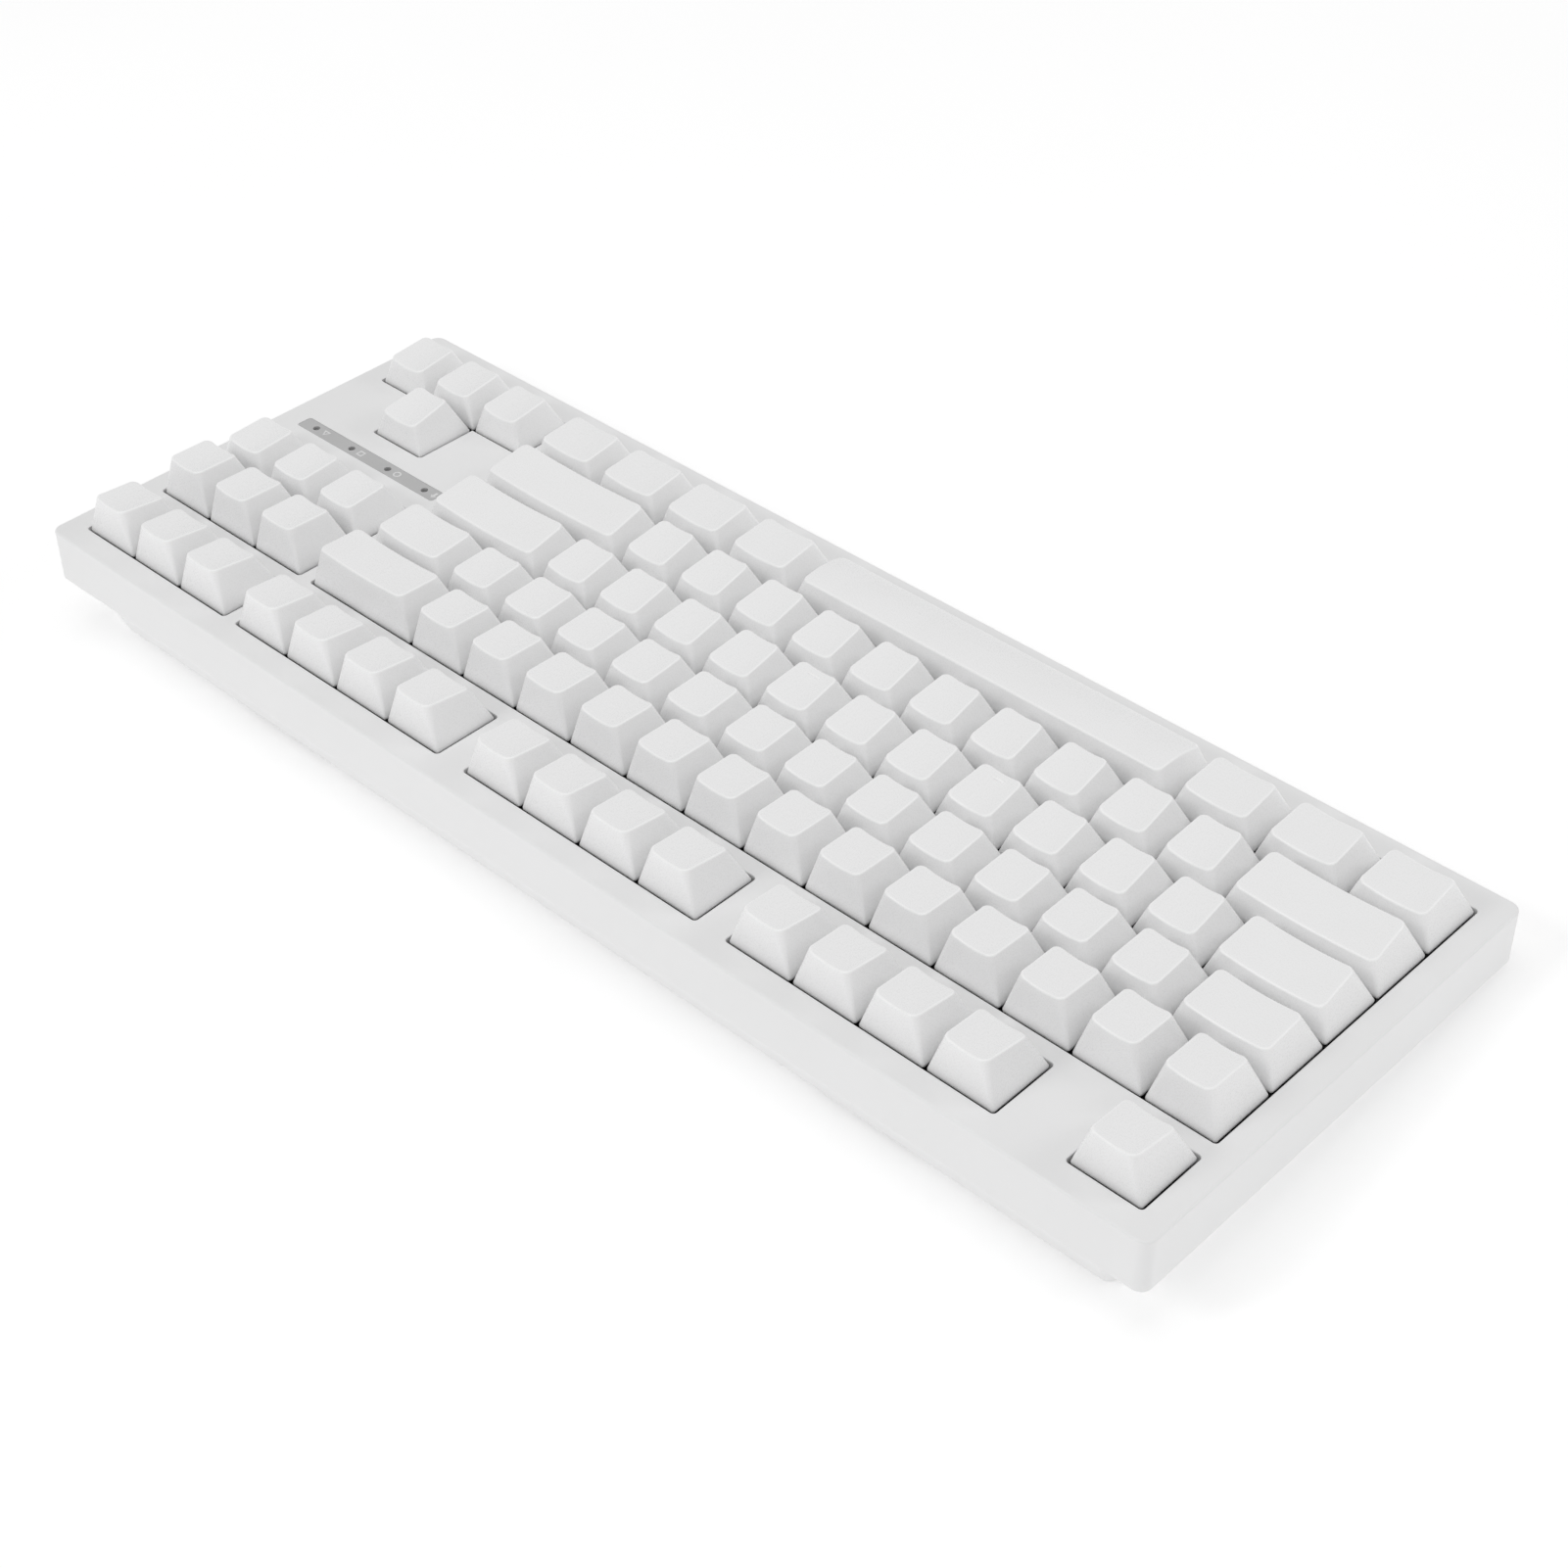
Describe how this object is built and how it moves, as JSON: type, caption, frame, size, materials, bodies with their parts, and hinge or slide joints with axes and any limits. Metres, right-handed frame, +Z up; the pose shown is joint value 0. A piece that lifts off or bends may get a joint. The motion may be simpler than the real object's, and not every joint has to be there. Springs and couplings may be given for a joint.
{
  "type": "mechanical keyboard",
  "caption": "Tenkeyless mechanical keyboard with sculpted blank keycaps that press, a two-part case with a tapered base and flip-out tilt feet.",
  "frame": {"origin": "centre of the keyboard's footprint, on the desk surface", "axes": "+X to the right of the person typing, +Y to the back, +Z up"},
  "size_m": [0.3616, 0.1352, 0.0415],
  "materials": {
    "case_plastic": "satin white ABS",
    "key_plastic": "fine matte white PBT",
    "plate_steel": "zinc plated",
    "board_green": "solder mask over glass fibre",
    "component_black": "moulded chip package",
    "switch_black": "black nylon",
    "switch_clear": "black nylon",
    "spring_steel": "drawn wire",
    "contact_brass": "plain",
    "screw_steel": "zinc plated",
    "foot_rubber": "matte",
    "socket_steel": "stamped",
    "indicator_grey": "satin grey",
    "lamp_smoke": "smoked lens",
    "foot_plastic": "satin white ABS",
    "wire_steel": "drawn wire"
  },
  "bodies": {
    "case": {"top_case": "case_plastic", "bottom_case": "case_plastic", "switch_plate": "plate_steel", "circuit_board": "board_green", "board_components": "component_black", "switch_bases": "switch_black", "switch_covers": "switch_clear", "switch_springs": "spring_steel", "switch_contacts": "contact_brass", "stabilizer_housings": "switch_black", "case_screws": "screw_steel", "rubber_feet": "foot_rubber", "usb_socket": "socket_steel", "indicator_window": "indicator_grey", "indicator_lamps": "lamp_smoke"},
    "left_tilt_foot": {"left_tilt_foot": "foot_plastic"},
    "right_tilt_foot": {"right_tilt_foot": "foot_plastic"},
    "space_bar": {"space_bar": "key_plastic"},
    "enter_key": {"enter_key": "key_plastic"},
    "backspace_key": {"backspace_key": "key_plastic"},
    "left_shift_key": {"left_shift_key": "key_plastic"},
    "right_shift_key": {"right_shift_key": "key_plastic"},
    "escape_key": {"escape_key": "key_plastic"},
    "key_q": {"key_q": "key_plastic"},
    "key_w": {"key_w": "key_plastic"},
    "key_e": {"key_e": "key_plastic"},
    "key_r": {"key_r": "key_plastic"},
    "key_t": {"key_t": "key_plastic"},
    "key_y": {"key_y": "key_plastic"},
    "key_u": {"key_u": "key_plastic"},
    "key_i": {"key_i": "key_plastic"},
    "key_o": {"key_o": "key_plastic"},
    "key_p": {"key_p": "key_plastic"},
    "key_a": {"key_a": "key_plastic"},
    "key_s": {"key_s": "key_plastic"},
    "key_d": {"key_d": "key_plastic"},
    "key_f": {"key_f": "key_plastic"},
    "key_g": {"key_g": "key_plastic"},
    "key_h": {"key_h": "key_plastic"},
    "key_j": {"key_j": "key_plastic"},
    "key_k": {"key_k": "key_plastic"},
    "key_l": {"key_l": "key_plastic"},
    "key_z": {"key_z": "key_plastic"},
    "key_x": {"key_x": "key_plastic"},
    "key_c": {"key_c": "key_plastic"},
    "key_v": {"key_v": "key_plastic"},
    "key_b": {"key_b": "key_plastic"},
    "key_n": {"key_n": "key_plastic"},
    "key_m": {"key_m": "key_plastic"},
    "arrow_keys": {"arrow_keys": "key_plastic"},
    "function_keys": {"function_keys": "key_plastic"},
    "number_keys": {"number_keys": "key_plastic"},
    "navigation_keys": {"navigation_keys": "key_plastic"},
    "modifier_keys": {"modifier_keys": "key_plastic"},
    "punctuation_keys": {"punctuation_keys": "key_plastic"},
    "backspace_wire": {"backspace_wire": "wire_steel"},
    "enter_wire": {"enter_wire": "wire_steel"},
    "left_shift_wire": {"left_shift_wire": "wire_steel"},
    "right_shift_wire": {"right_shift_wire": "wire_steel"},
    "space_bar_wire": {"space_bar_wire": "wire_steel"}
  },
  "joints": [
    {"name": "left_tilt_foot_hinge", "type": "hinge", "parent": "case", "child": "left_tilt_foot", "pos_m": [-0.14, 0.052, 0.0038], "axis": [1, 0, 0], "range_deg": [0, 95]},
    {"name": "right_tilt_foot_hinge", "type": "hinge", "parent": "case", "child": "right_tilt_foot", "pos_m": [0.14, 0.052, 0.0038], "axis": [1, 0, 0], "range_deg": [0, 95]},
    {"name": "space_bar_press", "type": "slide", "parent": "case", "child": "space_bar", "axis": [0, 0.1045, -0.9945], "range_m": [0, 0.004], "stiffness_N_per_m": 240, "springref_m": -0.004, "deforming": ["switch_springs"]},
    {"name": "enter_key_press", "type": "slide", "parent": "case", "child": "enter_key", "axis": [0, 0.1045, -0.9945], "range_m": [0, 0.004], "stiffness_N_per_m": 120, "springref_m": -0.004},
    {"name": "key_a_press", "type": "slide", "parent": "case", "child": "key_a", "axis": [0, 0.1045, -0.9945], "range_m": [0, 0.004], "stiffness_N_per_m": 120, "springref_m": -0.004},
    {"name": "escape_key_press", "type": "slide", "parent": "case", "child": "escape_key", "axis": [0, 0.1045, -0.9945], "range_m": [0, 0.004], "stiffness_N_per_m": 120, "springref_m": -0.004},
    {"name": "arrow_keys_press", "type": "slide", "parent": "case", "child": "arrow_keys", "axis": [0, 0.1045, -0.9945], "range_m": [0, 0.004], "stiffness_N_per_m": 480, "springref_m": -0.004},
    {"name": "function_keys_press", "type": "slide", "parent": "case", "child": "function_keys", "axis": [0, 0.1045, -0.9945], "range_m": [0, 0.004], "stiffness_N_per_m": 1440, "springref_m": -0.004},
    {"name": "number_keys_press", "type": "slide", "parent": "case", "child": "number_keys", "axis": [0, 0.1045, -0.9945], "range_m": [0, 0.004], "stiffness_N_per_m": 1560, "springref_m": -0.004},
    {"name": "navigation_keys_press", "type": "slide", "parent": "case", "child": "navigation_keys", "axis": [0, 0.1045, -0.9945], "range_m": [0, 0.004], "stiffness_N_per_m": 1080, "springref_m": -0.004},
    {"name": "backspace_key_press", "type": "slide", "parent": "case", "child": "backspace_key", "axis": [0, 0.1045, -0.9945], "range_m": [0, 0.004], "stiffness_N_per_m": 120, "springref_m": -0.004},
    {"name": "left_shift_key_press", "type": "slide", "parent": "case", "child": "left_shift_key", "axis": [0, 0.1045, -0.9945], "range_m": [0, 0.004], "stiffness_N_per_m": 120, "springref_m": -0.004},
    {"name": "right_shift_key_press", "type": "slide", "parent": "case", "child": "right_shift_key", "axis": [0, 0.1045, -0.9945], "range_m": [0, 0.004], "stiffness_N_per_m": 120, "springref_m": -0.004},
    {"name": "modifier_keys_press", "type": "slide", "parent": "case", "child": "modifier_keys", "axis": [0, 0.1045, -0.9945], "range_m": [0, 0.004], "stiffness_N_per_m": 1080, "springref_m": -0.004},
    {"name": "punctuation_keys_press", "type": "slide", "parent": "case", "child": "punctuation_keys", "axis": [0, 0.1045, -0.9945], "range_m": [0, 0.004], "stiffness_N_per_m": 960, "springref_m": -0.004},
    {"name": "key_q_press", "type": "slide", "parent": "case", "child": "key_q", "axis": [0, 0.1045, -0.9945], "range_m": [0, 0.004], "stiffness_N_per_m": 120, "springref_m": -0.004},
    {"name": "key_w_press", "type": "slide", "parent": "case", "child": "key_w", "axis": [0, 0.1045, -0.9945], "range_m": [0, 0.004], "stiffness_N_per_m": 120, "springref_m": -0.004},
    {"name": "key_e_press", "type": "slide", "parent": "case", "child": "key_e", "axis": [0, 0.1045, -0.9945], "range_m": [0, 0.004], "stiffness_N_per_m": 120, "springref_m": -0.004},
    {"name": "key_r_press", "type": "slide", "parent": "case", "child": "key_r", "axis": [0, 0.1045, -0.9945], "range_m": [0, 0.004], "stiffness_N_per_m": 120, "springref_m": -0.004},
    {"name": "key_t_press", "type": "slide", "parent": "case", "child": "key_t", "axis": [0, 0.1045, -0.9945], "range_m": [0, 0.004], "stiffness_N_per_m": 120, "springref_m": -0.004},
    {"name": "key_y_press", "type": "slide", "parent": "case", "child": "key_y", "axis": [0, 0.1045, -0.9945], "range_m": [0, 0.004], "stiffness_N_per_m": 120, "springref_m": -0.004},
    {"name": "key_u_press", "type": "slide", "parent": "case", "child": "key_u", "axis": [0, 0.1045, -0.9945], "range_m": [0, 0.004], "stiffness_N_per_m": 120, "springref_m": -0.004},
    {"name": "key_i_press", "type": "slide", "parent": "case", "child": "key_i", "axis": [0, 0.1045, -0.9945], "range_m": [0, 0.004], "stiffness_N_per_m": 120, "springref_m": -0.004},
    {"name": "key_o_press", "type": "slide", "parent": "case", "child": "key_o", "axis": [0, 0.1045, -0.9945], "range_m": [0, 0.004], "stiffness_N_per_m": 120, "springref_m": -0.004},
    {"name": "key_p_press", "type": "slide", "parent": "case", "child": "key_p", "axis": [0, 0.1045, -0.9945], "range_m": [0, 0.004], "stiffness_N_per_m": 120, "springref_m": -0.004},
    {"name": "key_s_press", "type": "slide", "parent": "case", "child": "key_s", "axis": [0, 0.1045, -0.9945], "range_m": [0, 0.004], "stiffness_N_per_m": 120, "springref_m": -0.004},
    {"name": "key_d_press", "type": "slide", "parent": "case", "child": "key_d", "axis": [0, 0.1045, -0.9945], "range_m": [0, 0.004], "stiffness_N_per_m": 120, "springref_m": -0.004},
    {"name": "key_f_press", "type": "slide", "parent": "case", "child": "key_f", "axis": [0, 0.1045, -0.9945], "range_m": [0, 0.004], "stiffness_N_per_m": 120, "springref_m": -0.004},
    {"name": "key_g_press", "type": "slide", "parent": "case", "child": "key_g", "axis": [0, 0.1045, -0.9945], "range_m": [0, 0.004], "stiffness_N_per_m": 120, "springref_m": -0.004},
    {"name": "key_h_press", "type": "slide", "parent": "case", "child": "key_h", "axis": [0, 0.1045, -0.9945], "range_m": [0, 0.004], "stiffness_N_per_m": 120, "springref_m": -0.004},
    {"name": "key_j_press", "type": "slide", "parent": "case", "child": "key_j", "axis": [0, 0.1045, -0.9945], "range_m": [0, 0.004], "stiffness_N_per_m": 120, "springref_m": -0.004},
    {"name": "key_k_press", "type": "slide", "parent": "case", "child": "key_k", "axis": [0, 0.1045, -0.9945], "range_m": [0, 0.004], "stiffness_N_per_m": 120, "springref_m": -0.004},
    {"name": "key_l_press", "type": "slide", "parent": "case", "child": "key_l", "axis": [0, 0.1045, -0.9945], "range_m": [0, 0.004], "stiffness_N_per_m": 120, "springref_m": -0.004},
    {"name": "key_z_press", "type": "slide", "parent": "case", "child": "key_z", "axis": [0, 0.1045, -0.9945], "range_m": [0, 0.004], "stiffness_N_per_m": 120, "springref_m": -0.004},
    {"name": "key_x_press", "type": "slide", "parent": "case", "child": "key_x", "axis": [0, 0.1045, -0.9945], "range_m": [0, 0.004], "stiffness_N_per_m": 120, "springref_m": -0.004},
    {"name": "key_c_press", "type": "slide", "parent": "case", "child": "key_c", "axis": [0, 0.1045, -0.9945], "range_m": [0, 0.004], "stiffness_N_per_m": 120, "springref_m": -0.004},
    {"name": "key_v_press", "type": "slide", "parent": "case", "child": "key_v", "axis": [0, 0.1045, -0.9945], "range_m": [0, 0.004], "stiffness_N_per_m": 120, "springref_m": -0.004},
    {"name": "key_b_press", "type": "slide", "parent": "case", "child": "key_b", "axis": [0, 0.1045, -0.9945], "range_m": [0, 0.004], "stiffness_N_per_m": 120, "springref_m": -0.004},
    {"name": "key_n_press", "type": "slide", "parent": "case", "child": "key_n", "axis": [0, 0.1045, -0.9945], "range_m": [0, 0.004], "stiffness_N_per_m": 120, "springref_m": -0.004},
    {"name": "key_m_press", "type": "slide", "parent": "case", "child": "key_m", "axis": [0, 0.1045, -0.9945], "range_m": [0, 0.004], "stiffness_N_per_m": 120, "springref_m": -0.004},
    {"name": "backspace_wire_pivot", "type": "hinge", "parent": "case", "child": "backspace_wire", "pos_m": [0.09287, 0.01763, 0.01638], "axis": [-1, 0, 0], "range_deg": [0, 26.59]},
    {"name": "enter_wire_pivot", "type": "hinge", "parent": "case", "child": "enter_wire", "pos_m": [0.09049, -0.02026, 0.0124], "axis": [-1, 0, 0], "range_deg": [0, 26.59]},
    {"name": "left_shift_wire_pivot", "type": "hinge", "parent": "case", "child": "left_shift_wire", "pos_m": [-0.1524, -0.03921, 0.01041], "axis": [-1, 0, 0], "range_deg": [0, 26.59]},
    {"name": "right_shift_wire_pivot", "type": "hinge", "parent": "case", "child": "right_shift_wire", "pos_m": [0.08572, -0.03921, 0.01041], "axis": [-1, 0, 0], "range_deg": [0, 26.59]},
    {"name": "space_bar_wire_pivot", "type": "hinge", "parent": "case", "child": "space_bar_wire", "pos_m": [-0.04286, -0.05815, 0.00842], "axis": [-1, 0, 0], "range_deg": [0, 26.59]}
  ],
  "couplings": [
    {"joint": "backspace_wire_pivot", "follows": "backspace_key_press", "rad_per_m": 115.14},
    {"joint": "enter_wire_pivot", "follows": "enter_key_press", "rad_per_m": 115.14},
    {"joint": "left_shift_wire_pivot", "follows": "left_shift_key_press", "rad_per_m": 115.14},
    {"joint": "right_shift_wire_pivot", "follows": "right_shift_key_press", "rad_per_m": 115.14},
    {"joint": "space_bar_wire_pivot", "follows": "space_bar_press", "rad_per_m": 115.14}
  ]
}
